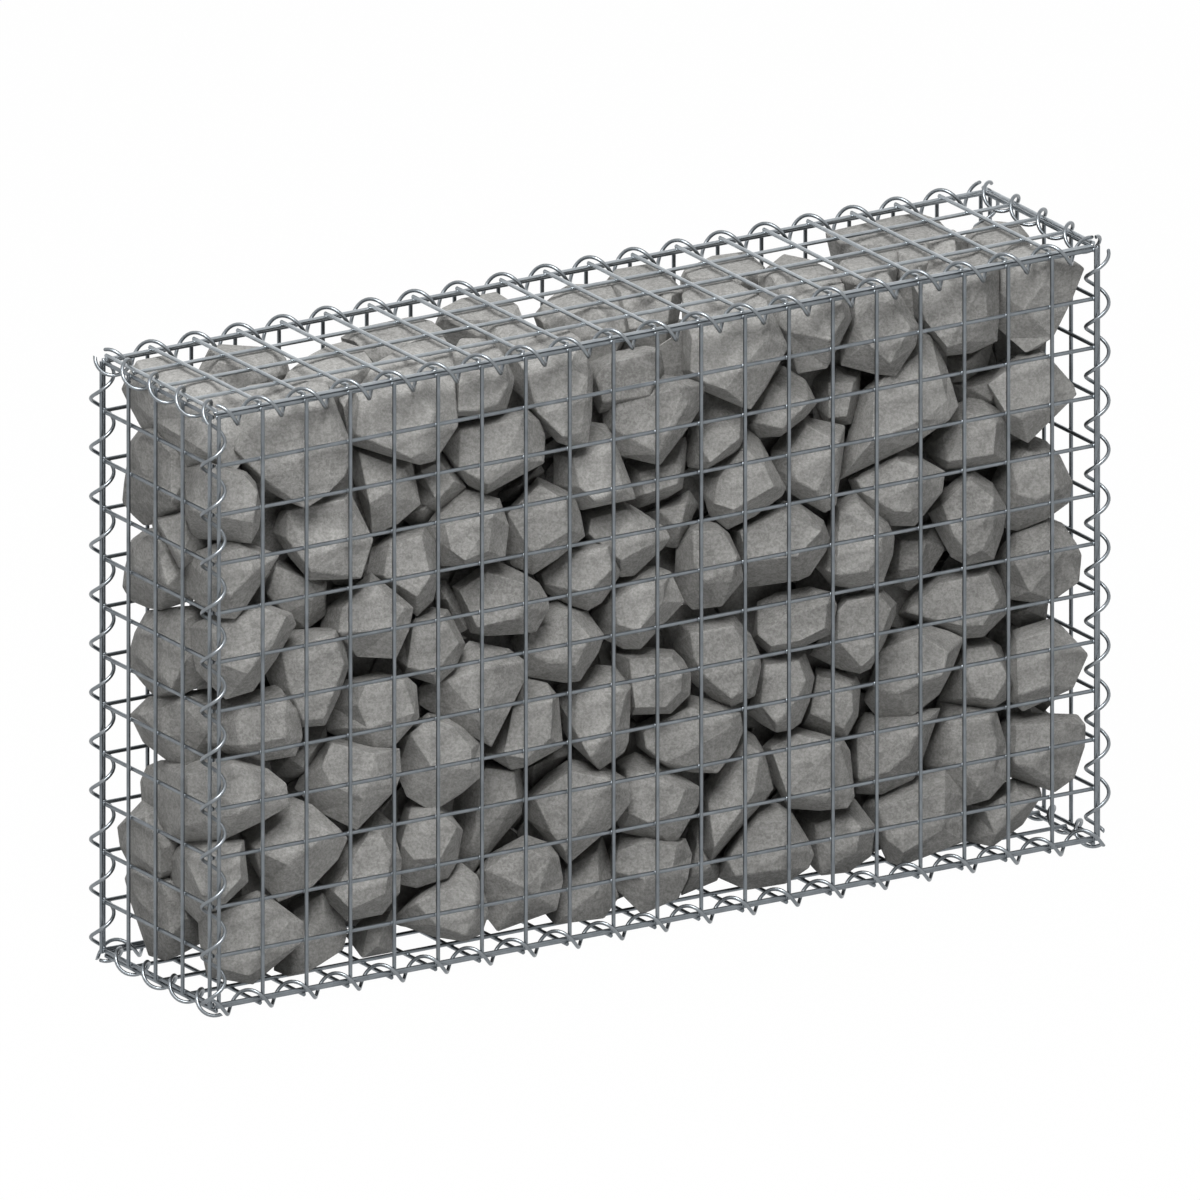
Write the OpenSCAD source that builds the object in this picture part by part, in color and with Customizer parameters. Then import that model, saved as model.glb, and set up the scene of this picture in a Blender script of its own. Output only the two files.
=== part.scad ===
// Gabion wall: one welded-mesh basket, laced along its twelve edges with
// spiral wires and filled with broken quarry stone. Millimetres.
// Origin at the middle of the underside, X along the wall, Y to the back, Z up.

/* [Basket] */
// length of the mesh box
basket_length = 1000; // [600:50:2000]
// depth of the mesh box, front to back
basket_depth = 200; // [200:50:500]
// height of the mesh box
basket_height = 600; // [400:50:1000]
// distance between neighbouring mesh wires
mesh_pitch = 50; // [45:5:75]

/* [Mesh wire] */
// thickness of the mesh wire
wire_d = 4; // [3:0.5:6]
// how deep two crossing wires sink into each other at the weld
weld_set = 0.6; // [0.3:0.1:1]
// air between the edge wires of two panels that meet
corner_clear = 0.3; // [0.2:0.1:1]
// flats around a mesh wire
wire_sides = 8; // [6:2:12]

/* [Spirals] */
// thickness of the spiral wire
spiral_wire_d = 3; // [2:0.5:4]
// play between a spiral and the wires it laces
spiral_play = 1.8; // [1.4:0.1:4]
// air left where a spiral leans on a mesh wire
spiral_seat = 0.3; // [0.2:0.1:0.8]
// turns of the spiral in one mesh cell
turns_per_cell = 1; // [1:1:2]
// rings of facets in one turn
rings_per_turn = 8; // [6:1:10]
// flats around the spiral wire
spiral_sides = 5; // [5:1:8]
// length left free at each end of a lengthwise spiral
long_end_trim = 2; // [0:0.5:20]
// length left free at each end of a cross spiral
cross_end_trim = 2; // [0:0.5:20]
// length left free at each end of an upright spiral
post_end_trim = 12; // [0:0.5:20]

/* [Stone fill] */
// air between two stones that lean on each other
stone_gap = 0.6; // [0.3:0.1:1]
// air between the stones and the base wires they lie on
bed_clear = 0.4; // [0.2:0.1:1]
// room kept between the stones and the upright panels
side_clear = 5; // [3:1:15]
// room kept between the stones and the lid
lid_clear = 5; // [3:1:20]
// room kept between the stones and the spirals
spiral_clear = 0.5; // [0.3:0.1:3]
// facets each stone is split into before its neighbours trim it
stone_facets = 12; // [10:1:20]
// how blocky the stones are, from round to square
blockiness = 0.3; // [0:0.05:1]
// depth of a facet cut, as a share of the stone's half size, deepest
cut_low = 0.78; // [0.7:0.01:0.95]
// depth of a facet cut, as a share of the stone's half size, shallowest
cut_high = 0.98; // [0.95:0.01:1.1]
// number that starts the stone shapes
stone_seed = 7; // [1:1:99]

/* [Hidden] */

// mesh cells along each edge
cells_long = round(basket_length / mesh_pitch);
cells_deep = round(basket_depth / mesh_pitch);
cells_high = round(basket_height / mesh_pitch);
// the inner wires of a panel lie this far outside the mesh box
inner_off = (wire_d + corner_clear) / sqrt(2);
// step from the inner wires to the outer wires
layer_step = wire_d - weld_set;
outer_off = inner_off + layer_step;
// wire ends past the last crossing
outer_over = wire_d / 2;
inner_over = inner_off - wire_d / 2 - corner_clear;
// corner radius of a mesh wire with flats at half its thickness
wire_r = wire_d / 2 / cos(180 / wire_sides);
// spiral centre line and where its axis runs
edge_mid = inner_off / 2;
post_mid = outer_off / 2;
spiral_r = outer_off - edge_mid + wire_d / 2 + spiral_play + spiral_wire_d / 2;
spiral_od = 2 * spiral_r + spiral_wire_d;
// how far the facets of a turn cut inside its true circle
chord_loss = spiral_r * (1 - cos(180 / rings_per_turn));
// shift of an axis that brings its spiral to rest on a mesh wire
long_shift = max(0, spiral_play - chord_loss - spiral_seat);
post_shift = max(0, spiral_r - spiral_wire_d / 2 - post_mid * sqrt(2) - wire_r
    - chord_loss - spiral_seat) / sqrt(2);
// the mesh box stands this high, so that the lower spirals touch the ground
lift = spiral_od / 2 + edge_mid;
half_l = basket_length / 2;
half_d = basket_depth / 2;
// the stone layout is drawn on a box of 1000 by 200 by 600 and stretched to the basket
fill_scale = [basket_length / 1000, basket_depth / 200, basket_height / 600];
room_min = [-half_l + side_clear, -half_d + side_clear,
    lift - inner_off + wire_d / 2 + bed_clear];
room_max = [half_l - side_clear, half_d - side_clear,
    lift + basket_height - lid_clear];
cut_size = 300 * max(fill_scale);
// heights of the upper and lower spirals, and how far the stones stay from a spiral's axis
top_z = lift + basket_height + edge_mid;
low_z = lift - edge_mid;
spiral_keep = spiral_od / 2 + long_shift + spiral_clear;
// a point on each of the twelve spirals' axes, and the way out of the basket there
edges = concat(
    [for (sy = [-1, 1], sz = [-1, 1])
        [[0, sy * (half_d + edge_mid), sz > 0 ? top_z : low_z], [0, sy, sz]]],
    [for (sx = [-1, 1], sz = [-1, 1])
        [[sx * (half_l + edge_mid), 0, sz > 0 ? top_z : low_z], [sx, 0, sz]]],
    [for (sx = [-1, 1], sy = [-1, 1])
        [[sx * (half_l + post_mid), sy * (half_d + post_mid), 0], [sx, sy, 0]]]);

// Stone layout, one list a course from the bottom up. Each stone is
// [middle along the wall, middle height, width, height, set back].
courses = [
    [[-443, 42, 117, 112, 0], [-376, 36, 80, 90, 34], [-307, 28, 76, 72, 30],
     [-222, 40, 106, 94, 2], [-133, 50, 102, 104, 0], [-58, 36, 84, 90, 28],
     [14, 42, 92, 98, 0], [82, 34, 72, 84, 34], [147, 42, 108, 98, 2],
     [233, 40, 84, 94, 4], [318, 48, 122, 106, 0], [412, 34, 90, 84, 6]],
    [[-486, 124, 70, 90, 6], [-393, 130, 116, 94, 0], [-313, 100, 90, 98, 4],
     [-240, 120, 80, 96, 8], [-168, 132, 84, 100, 30], [-68, 118, 118, 94, 0],
     [24, 116, 92, 98, 4], [106, 98, 80, 106, 12], [197, 112, 102, 88, 0],
     [290, 118, 100, 82, 8], [376, 112, 90, 98, 8], [452, 90, 92, 88, 4]],
    [[-456, 198, 118, 84, 0], [-394, 224, 72, 70, 32], [-330, 188, 110, 98, 0],
     [-230, 194, 102, 98, 0], [-127, 212, 86, 92, 2], [-47, 206, 84, 100, 8],
     [57, 164, 124, 84, 2], [160, 200, 84, 92, 10], [228, 176, 76, 78, 14],
     [310, 202, 114, 102, 6], [394, 178, 80, 84, 14], [458, 184, 86, 84, 2]],
    [[-428, 268, 94, 88, 10], [-300, 256, 92, 88, 4], [-178, 262, 106, 108, 0],
     [-88, 290, 102, 90, 6], [12, 236, 90, 82, 2], [94, 240, 94, 100, 4],
     [186, 272, 102, 76, 6], [258, 248, 78, 90, 4], [366, 262, 130, 84, 14],
     [456, 280, 88, 92, 4]],
    [[-440, 350, 98, 92, 6], [-374, 308, 94, 104, 6], [-303, 360, 98, 92, 0],
     [-238, 318, 80, 86, 10], [-160, 348, 108, 80, 2], [-68, 358, 96, 76, 4],
     [6, 312, 104, 86, 0], [84, 344, 88, 94, 4], [168, 350, 110, 88, 4],
     [247, 338, 90, 100, 2], [314, 312, 76, 76, 34], [376, 338, 90, 98, 0],
     [446, 362, 88, 94, 6]],
    [[-453, 424, 98, 90, 6], [-392, 396, 78, 84, 34], [-260, 404, 88, 98, 14],
     [-187, 428, 80, 88, 2], [-107, 418, 94, 98, 2], [-26, 392, 102, 72, 0],
     [28, 442, 84, 72, 30], [88, 462, 74, 66, 12], [114, 412, 96, 72, 6],
     [193, 434, 94, 88, 8], [294, 384, 104, 84, 0], [372, 420, 92, 76, 10]],
    [[-474, 500, 88, 92, 4], [-360, 448, 110, 100, 0], [-293, 488, 84, 92, 24],
     [-232, 474, 74, 84, 36], [-164, 498, 106, 78, 2], [-54, 462, 90, 88, 8],
     [8, 506, 124, 98, 0], [160, 498, 80, 78, 10], [224, 494, 76, 80, 30],
     [306, 470, 128, 112, 0], [388, 490, 70, 66, 36], [444, 460, 102, 90, 2]],
    [[-478, 570, 70, 60, 24], [-386, 542, 136, 106, 0], [-267, 548, 122, 92, 0],
     [-177, 564, 80, 66, 8], [-100, 542, 96, 104, 2], [-14, 570, 86, 56, 26],
     [107, 546, 116, 98, 2], [203, 558, 92, 74, 6], [274, 548, 92, 92, 0],
     [358, 552, 106, 86, 2], [450, 554, 94, 92, 4]]];

// a stone is at most this deep on the layout, front to back
stone_depth_max = (half_d - side_clear - stone_gap) / fill_scale.y;

function unit(v) = v / norm(v);
function along(a, b) = [a.x * b.x, a.y * b.y, a.z * b.z];

// [course, middle, half size, number] of a stone of the front layer
function front_stone(c, k, s) = let (
    w = s[2], h = s[3], d = min(stone_depth_max, (w + h) / 2),
    mid = [s[0], (side_clear - half_d) / fill_scale.y + d / 2 + s[4], s[1]])
    [c, along(mid, fill_scale) + [0, 0, lift], along([w, d, h], fill_scale) / 2, k];

// the back layer is the front layer turned half round
function back_stone(s) = [s[0], [-s[1].x, -s[1].y, s[1].z], s[2], s[3] + 500];

front_layer = [for (c = [0 : len(courses) - 1], k = [0 : len(courses[c]) - 1])
    front_stone(c, 20 * c + k, courses[c][k])];
stones = concat(front_layer, [for (s = front_layer) back_stone(s)]);

// how far a stone reaches in direction n, between a ball and a block of its size
function reach(s, n) = let (r = along(s[2], n))
    (1 - blockiness) * norm(r) + blockiness * (abs(r.x) + abs(r.y) + abs(r.z));

// unit directions spread evenly over a ball, turned for each stone
function facet_dir(i, count, turn) = let (
    z = 1 - (2 * i + 1) / count,
    r = sqrt(1 - z * z),
    a = i * 137.508 + turn[0],
    p = [r * cos(a), r * sin(a), z],
    q = [p.x, p.y * cos(turn[1]) - p.z * sin(turn[1]),
        p.y * sin(turn[1]) + p.z * cos(turn[1])])
    [q.x * cos(turn[2]) - q.y * sin(turn[2]), q.x * sin(turn[2]) + q.y * cos(turn[2]), q.z];

function facets(s) = let (
    turn = rands(0, 360, 3, stone_seed + s[3]),
    cut = rands(cut_low, cut_high, stone_facets, stone_seed + 31 + s[3]))
    [for (i = [0 : stone_facets - 1])
        let (n = facet_dir(i, stone_facets, turn))
            [s[1] + n * reach(s, n) * cut[i], n]];

// planes half way to each neighbour, less half the gap
function neighbour_cuts(s) = [for (t = stones)
    let (v = t[1] - s[1], gap = norm(v))
        if (gap > 0.001)
            let (n = v / gap, a = reach(s, n), b = reach(t, n))
                if (gap < 1.3 * (a + b))
                    [s[1] + n * (gap * a / (a + b) - stone_gap / 2), n]];

// planes of the room the basket leaves
function room_cuts(s) = [for (k = [0 : 2], side = [-1, 1])
    let (n = [for (j = [0 : 2]) j == k ? side : 0],
        limit = side > 0 ? room_max[k] : room_min[k])
        if (side * (limit - s[1][k]) < 1.3 * s[2][k])
            [[for (j = [0 : 2]) j == k ? limit : s[1][j]], n]];

// planes that keep the stones off the spirals along the edges
function edge_cuts(s) = [for (e = edges)
    let (n = unit(e[1]), room = n * (e[0] - s[1]) - spiral_keep)
        if (room < 1.3 * reach(s, n))
            [s[1] + n * room, n]];

module half_space(at, n) {
    translate(at)
        rotate([0, acos(n.z), atan2(n.y, n.x)])
            translate([-cut_size / 2, -cut_size / 2, -cut_size])
                cube(cut_size);
}

module stone(s) {
    intersection_for (p = concat(facets(s), neighbour_cuts(s), room_cuts(s), edge_cuts(s)))
        half_space(p[0], p[1]);
}

module stone_course(c) {
    color([0.52, 0.51, 0.49])
        for (s = stones)
            if (s[0] == c)
                stone(s);
}

// a straight mesh wire along Z with flats to the sides
module wire(length) {
    rotate([0, 0, 180 / wire_sides])
        cylinder(r = wire_r, h = length, $fn = wire_sides);
}

// welded mesh, outer wires along Y on top of the inner wires along X
module welded_panel(size_x, size_y, cells_x, cells_y) {
    color([0.50, 0.53, 0.53])
        union() {
            for (j = [0 : cells_y])
                translate([-inner_over, size_y * j / cells_y, 0])
                    rotate([0, 90, 0])
                        wire(size_x + 2 * inner_over);
            for (i = [0 : cells_x])
                translate([size_x * i / cells_x, -outer_over, layer_step])
                    rotate([-90, 0, 0])
                        wire(size_y + 2 * outer_over);
        }
}

module front_panel() {
    translate([-half_l, -half_d - inner_off, lift])
        rotate([90, 0, 0])
            welded_panel(basket_length, basket_height, cells_long, cells_high);
}

module back_panel() {
    rotate([0, 0, 180])
        front_panel();
}

module left_end_panel() {
    translate([-half_l - inner_off, half_d, lift])
        rotate([90, 0, -90])
            welded_panel(basket_depth, basket_height, cells_deep, cells_high);
}

module right_end_panel() {
    rotate([0, 0, 180])
        left_end_panel();
}

module lid_panel() {
    translate([-half_l, -half_d, lift + basket_height + inner_off])
        welded_panel(basket_length, basket_depth, cells_long, cells_deep);
}

module base_panel() {
    translate([-half_l, half_d, lift - inner_off])
        rotate([180, 0, 0])
            welded_panel(basket_length, basket_depth, cells_long, cells_deep);
}

// middle of the spiral wire at height z, and one point of its skin there
function coil_angle(z, pitch, phase) = phase + 360 * z / pitch;
function coil_mid(z, a) = [spiral_r * cos(a), spiral_r * sin(a), z];
function skin(z, a, pitch, b) = let (
    out = [cos(a), sin(a), 0],
    run = unit([-sin(a) * 2 * PI * spiral_r, cos(a) * 2 * PI * spiral_r, pitch]))
    coil_mid(z, a) + spiral_wire_d / 2 * (cos(b) * out + sin(b) * cross(run, out));

// right-handed spiral along Z, one turn a mesh cell
module spiral(length, cells, phase, trim) {
    pitch = length / cells / turns_per_cell;
    rings = ceil((length - 2 * trim) / pitch * rings_per_turn);
    n = spiral_sides;
    pts = [for (i = [0 : rings], j = [0 : n - 1])
        let (z = trim + (length - 2 * trim) * i / rings)
            skin(z, coil_angle(z, pitch, phase), pitch, 360 * j / n)];
    sides = [for (i = [0 : rings - 1], j = [0 : n - 1], h = [0, 1])
        let (a = i * n + j, b = i * n + (j + 1) % n)
            h == 0 ? [a, b, a + n] : [b, b + n, a + n]];
    ends = [for (j = [1 : n - 2], h = [0, 1])
        h == 0 ? [0, j + 1, j] : [rings * n, rings * n + j, rings * n + j + 1]];
    color([0.62, 0.65, 0.66])
        polyhedron(pts, concat(sides, ends));
}

// spirals lengthwise, crosswise and upright; sy, sx pick the edge
module long_spiral(sy, z, inward, phase) {
    translate([-half_l, sy * (half_d + edge_mid - inward), z])
        rotate([90, 0, 90])
            spiral(basket_length, cells_long, phase, long_end_trim);
}

module cross_spiral(sx, z, phase) {
    translate([sx * (half_l + edge_mid), -half_d, z])
        rotate([0, -90, -90])
            spiral(basket_depth, cells_deep, phase, cross_end_trim);
}

module post_spiral(sx, sy, phase) {
    translate([sx * (half_l + post_mid + post_shift),
        sy * (half_d + post_mid - post_shift), lift])
        spiral(basket_height, cells_high, phase, post_end_trim);
}

module front_top_spiral() {
    long_spiral(-1, top_z - long_shift, 0, 90);
}

module front_bottom_spiral() {
    long_spiral(-1, low_z, long_shift, 184);
}

module back_top_spiral() {
    long_spiral(1, top_z - long_shift, 0, 66);
}

module back_bottom_spiral() {
    long_spiral(1, low_z, long_shift, 356);
}

module left_top_spiral() {
    cross_spiral(-1, top_z, 270);
}

module left_bottom_spiral() {
    cross_spiral(-1, low_z, 285);
}

module right_top_spiral() {
    cross_spiral(1, top_z, 27);
}

module right_bottom_spiral() {
    cross_spiral(1, low_z, 156);
}

module front_left_spiral() {
    post_spiral(-1, -1, 144);
}

module front_right_spiral() {
    post_spiral(1, -1, 3);
}

module back_left_spiral() {
    post_spiral(-1, 1, 54);
}

module back_right_spiral() {
    post_spiral(1, 1, 45);
}

module stone_course_1() {
    stone_course(0);
}

module stone_course_2() {
    stone_course(1);
}

module stone_course_3() {
    stone_course(2);
}

module stone_course_4() {
    stone_course(3);
}

module stone_course_5() {
    stone_course(4);
}

module stone_course_6() {
    stone_course(5);
}

module stone_course_7() {
    stone_course(6);
}

module stone_course_8() {
    stone_course(7);
}

front_panel();
back_panel();
left_end_panel();
right_end_panel();
lid_panel();
base_panel();
front_top_spiral();
front_bottom_spiral();
back_top_spiral();
back_bottom_spiral();
left_top_spiral();
left_bottom_spiral();
right_top_spiral();
right_bottom_spiral();
front_left_spiral();
front_right_spiral();
back_left_spiral();
back_right_spiral();
stone_course_1();
stone_course_2();
stone_course_3();
stone_course_4();
stone_course_5();
stone_course_6();
stone_course_7();
stone_course_8();
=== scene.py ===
import bpy
import math
import random
from mathutils import Matrix, Vector


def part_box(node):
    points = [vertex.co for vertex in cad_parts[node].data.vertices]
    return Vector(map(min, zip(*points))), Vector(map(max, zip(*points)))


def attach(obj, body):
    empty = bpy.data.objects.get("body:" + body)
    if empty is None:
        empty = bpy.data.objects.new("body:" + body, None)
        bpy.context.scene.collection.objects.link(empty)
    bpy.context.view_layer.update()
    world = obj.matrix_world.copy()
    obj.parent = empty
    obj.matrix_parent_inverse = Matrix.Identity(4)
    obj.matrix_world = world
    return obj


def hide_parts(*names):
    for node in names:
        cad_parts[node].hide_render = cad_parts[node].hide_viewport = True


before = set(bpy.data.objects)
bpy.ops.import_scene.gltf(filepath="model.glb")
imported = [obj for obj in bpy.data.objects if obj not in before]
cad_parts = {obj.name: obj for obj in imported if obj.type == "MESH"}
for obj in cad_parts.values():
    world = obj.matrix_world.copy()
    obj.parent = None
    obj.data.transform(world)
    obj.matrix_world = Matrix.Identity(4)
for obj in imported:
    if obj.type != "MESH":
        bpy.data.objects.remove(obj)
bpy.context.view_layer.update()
print("frame loaded", len(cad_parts), "nodes")

# the mesh box, in metres, as the solids have it
basket = {
    "length": 1.0, "depth": 0.2, "height": 0.6,
    "cellsLong": 20, "cellsDeep": 4, "cellsHigh": 12,
    "wire": 0.004, "weldSet": 0.0006, "cornerClear": 0.0003,
    "smoothAngle": 50,
}
innerOff = (basket["wire"] + basket["cornerClear"]) / math.sqrt(2)
layerStep = basket["wire"] - basket["weldSet"]
outerOff = innerOff + layerStep
outerOver = basket["wire"] / 2
innerOver = innerOff - basket["wire"] / 2 - basket["cornerClear"]
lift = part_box("front_panel")[0].z + outerOver  # height of the lowest front wire
halfL, halfD, boxH = basket["length"] / 2, basket["depth"] / 2, basket["height"]

# the camera's place: stones are laid out along its line of sight
lens = {
    "azimuth": 31.668, "elevation": 18.083, "pixelsPerMetre": 1030.596, "frame": 1200,
    "point": (0.0, -0.006, 0.3), "pixel": (603.04, 601.03), "back": 4.0, "clipEnd": 40,
}
turnA, turnE = math.radians(lens["azimuth"]), math.radians(lens["elevation"])
sightRight = Vector((math.cos(turnA), -math.sin(turnA), 0))
sightUp = Vector((math.sin(turnA) * math.sin(turnE), math.cos(turnA) * math.sin(turnE), math.cos(turnE)))
sight = sightUp.cross(sightRight)  # away from the camera


def deselectAll():
    if bpy.context.object and bpy.context.object.mode != "OBJECT":
        bpy.ops.object.mode_set(mode="OBJECT")
    bpy.ops.object.select_all(action="DESELECT")


def pick(*objs):
    deselectAll()
    for o in objs:
        o.select_set(True)
    bpy.context.view_layer.objects.active = objs[0]


def settle(obj):
    pick(obj)
    bpy.ops.object.transform_apply(location=True, rotation=True, scale=True)


def useModifier(obj, kind, **values):
    mod = obj.modifiers.new(kind.title(), kind)
    for key, value in values.items():
        setattr(mod, key, value)
    pick(obj)
    bpy.ops.object.modifier_apply(modifier=mod.name)


def addObject(name, data):
    obj = bpy.data.objects.new(name, data)
    bpy.context.scene.collection.objects.link(obj)
    return obj


def onAll(operator, **values):
    bpy.ops.mesh.select_all(action="SELECT")
    operator(**values)


def repeatAlong(obj, count, step):
    useModifier(obj, "ARRAY", count=count, use_relative_offset=False,
                use_constant_offset=True, constant_offset_displace=step)


def finishPiece(obj, name, material):
    obj.name = name
    obj.data.name = name
    obj.data.materials.clear()
    obj.data.materials.append(material)
    pick(obj)
    bpy.ops.object.shade_smooth_by_angle(angle=math.radians(basket["smoothAngle"]))
    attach(obj, "root")


# shader helpers

def newGroup(name, inputs, outputs):
    tree = bpy.data.node_groups.new(name, "ShaderNodeTree")
    for label, kind, value in inputs:
        socket = tree.interface.new_socket(label, in_out="INPUT", socket_type=kind)
        if value is not None:
            socket.default_value = value
    for label in outputs:
        tree.interface.new_socket(label, in_out="OUTPUT", socket_type="NodeSocketFloat")
    return tree, tree.nodes.new("NodeGroupInput"), tree.nodes.new("NodeGroupOutput")


def noise(tree, vector, scale, detail, rough, distort):
    n = tree.nodes.new("ShaderNodeTexNoise")
    n.inputs["Detail"].default_value = detail
    n.inputs["Roughness"].default_value = rough
    n.inputs["Distortion"].default_value = distort
    tree.links.new(vector, n.inputs["Vector"])
    if isinstance(scale, float):
        n.inputs["Scale"].default_value = scale
    else:
        tree.links.new(scale, n.inputs["Scale"])
    return n.outputs["Fac"]


def spread(tree, value, low, high, toLow=0.0, toHigh=1.0):
    n = tree.nodes.new("ShaderNodeMapRange")
    n.inputs["From Min"].default_value = low
    n.inputs["From Max"].default_value = high
    n.inputs["To Min"].default_value = toLow
    n.inputs["To Max"].default_value = toHigh
    tree.links.new(value, n.inputs["Value"])
    return n.outputs["Result"]


def sums(tree, kind, a, b):
    n = tree.nodes.new("ShaderNodeMath")
    n.operation = kind
    for i, v in enumerate((a, b)):
        if isinstance(v, float):
            n.inputs[i].default_value = v
        else:
            tree.links.new(v, n.inputs[i])
    return n.outputs[0]


def weighted(tree, *terms):
    parts = [sums(tree, "MULTIPLY", value, weight) for value, weight in terms]
    total = parts[0]
    for part in parts[1:]:
        total = sums(tree, "ADD", total, part)
    return total


def blendColor(tree, factor, a, b):
    n = tree.nodes.new("ShaderNodeMix")
    n.data_type = "RGBA"
    tree.links.new(factor, [s for s in n.inputs if s.name == "Factor" and s.type == "VALUE"][0])
    for label, v in (("A", a), ("B", b)):
        socket = [s for s in n.inputs if s.name == label and s.type == "RGBA"][0]
        if isinstance(v, tuple):
            socket.default_value = (*v, 1.0)
        else:
            tree.links.new(v, socket)
    return [s for s in n.outputs if s.type == "RGBA"][0]


def addBump(tree, bsdf, height, strength, distance):
    bump = tree.nodes.new("ShaderNodeBump")
    bump.inputs["Strength"].default_value = strength
    bump.inputs["Distance"].default_value = distance
    tree.links.new(height, bump.inputs["Height"])
    tree.links.new(bump.outputs["Normal"], bsdf.inputs["Normal"])


def newMaterial(name, groupTree):
    mat = bpy.data.materials.new(name)
    mat.use_nodes = True
    tree = mat.node_tree
    coord = tree.nodes.new("ShaderNodeTexCoord")
    group = tree.nodes.new("ShaderNodeGroup")
    group.node_tree = groupTree
    tree.links.new(coord.outputs["Object"], group.inputs["Vector"])
    return mat, tree, tree.nodes["Principled BSDF"], group


# zinc bloom: soft patches and fine grain of galvanised wire.
# Each noise here and below has its detail, roughness and distortion
bloom = {
    "patchScale": 60.0, "patch": (4.0, 0.6, 0.4), "patchRange": (0.3, 0.7),
    "grainScale": 900.0, "grain": (3.0, 0.6, 0.0),
}


def makeZincGroup():
    tree, gin, gout = newGroup(
        "zincBloom",
        [("Vector", "NodeSocketVector", None), ("Patch Scale", "NodeSocketFloat", bloom["patchScale"]),
         ("Grain Scale", "NodeSocketFloat", bloom["grainScale"])],
        ("Patch", "Grain"))
    place = gin.outputs["Vector"]
    patch = noise(tree, place, gin.outputs["Patch Scale"], *bloom["patch"])
    grain = noise(tree, place, gin.outputs["Grain Scale"], *bloom["grain"])
    tree.links.new(spread(tree, patch, *bloom["patchRange"]), gout.inputs["Patch"])
    tree.links.new(grain, gout.inputs["Grain"])
    return tree


# broken stone: cloudy mottle, drawn-out streaks and a gritty face
broken = {
    "cloudScale": 22.0, "cloud": (5.0, 0.62, 0.6), "cloudRange": (0.3, 0.7),
    "gritScale": 420.0, "grit": (4.0, 0.7, 0.0), "gritRange": (0.43, 0.57),
    "coarseScale": 190.0, "coarse": (5.0, 0.7, 0.8), "gritShare": 0.5,
    "streakScale": 38.0, "streak": (5.0, 0.6, 1.2), "streakRange": (0.32, 0.68),
    "streakTurn": (0.5, 0.35, 0.6), "streakStretch": (1.0, 1.0, 4.5),
    "lumpScale": 90.0, "lump": (4.0, 0.6, 0.3),
    "lumpHigh": 0.35, "gritHigh": 0.3, "streakHigh": 0.2,
}


def makeRockGroup():
    tree, gin, gout = newGroup(
        "brokenFace",
        [("Vector", "NodeSocketVector", None), ("Cloud Scale", "NodeSocketFloat", broken["cloudScale"]),
         ("Grit Scale", "NodeSocketFloat", broken["gritScale"])],
        ("Cloud", "Streak", "Grit", "Height"))
    place = gin.outputs["Vector"]
    cloud = noise(tree, place, gin.outputs["Cloud Scale"], *broken["cloud"])
    fine = noise(tree, place, gin.outputs["Grit Scale"], *broken["grit"])
    coarse = noise(tree, place, broken["coarseScale"], *broken["coarse"])
    grit = weighted(tree, (fine, broken["gritShare"]), (coarse, broken["gritShare"]))
    turn = tree.nodes.new("ShaderNodeMapping")
    turn.inputs["Rotation"].default_value = broken["streakTurn"]
    turn.inputs["Scale"].default_value = broken["streakStretch"]
    tree.links.new(place, turn.inputs["Vector"])
    streak = noise(tree, turn.outputs["Vector"], broken["streakScale"], *broken["streak"])
    lumps = noise(tree, place, broken["lumpScale"], *broken["lump"])
    height = weighted(tree, (lumps, broken["lumpHigh"]), (grit, broken["gritHigh"]),
                      (streak, broken["streakHigh"]))
    tree.links.new(spread(tree, cloud, *broken["cloudRange"]), gout.inputs["Cloud"])
    tree.links.new(spread(tree, streak, *broken["streakRange"]), gout.inputs["Streak"])
    tree.links.new(spread(tree, grit, *broken["gritRange"]), gout.inputs["Grit"])
    tree.links.new(height, gout.inputs["Height"])
    return tree


zincBloom = makeZincGroup()
brokenFace = makeRockGroup()

zincLook = {
    "mesh": {"dark": (0.150, 0.166, 0.180), "light": (0.218, 0.239, 0.257), "patch": 60.0},
    # the lid entry is the same zinc made lighter: painted light from above on the lid wires
    "lid": {"dark": (0.280, 0.305, 0.325), "light": (0.392, 0.420, 0.442), "patch": 60.0},
    "spiral": {"dark": (0.170, 0.186, 0.200), "light": (0.245, 0.264, 0.280), "patch": 90.0},
    "rough": (0.40, 0.28), "bump": 0.25, "depth": 0.0002,
}


def makeZinc(name, look):
    mat, tree, bsdf, group = newMaterial(name, zincBloom)
    group.inputs["Patch Scale"].default_value = look["patch"]
    patch = group.outputs["Patch"]
    tree.links.new(blendColor(tree, patch, look["dark"], look["light"]), bsdf.inputs["Base Color"])
    tree.links.new(spread(tree, patch, 0.0, 1.0, *zincLook["rough"]), bsdf.inputs["Roughness"])
    bsdf.inputs["Metallic"].default_value = 1.0
    addBump(tree, bsdf, group.outputs["Grain"], zincLook["bump"], zincLook["depth"])
    return mat


rockLook = {
    "dark": (0.140, 0.138, 0.132), "light": (0.375, 0.371, 0.357), "dust": (0.38, 0.375, 0.362),
    "cloud": 0.18, "streak": 0.20, "grit": 0.40, "tone": 0.22,  # how much each one lightens
    "worn": 0.2, "bump": 0.9, "depth": 0.0026, "rough": (0.95, 0.8), "specular": 0.3,
}


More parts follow.
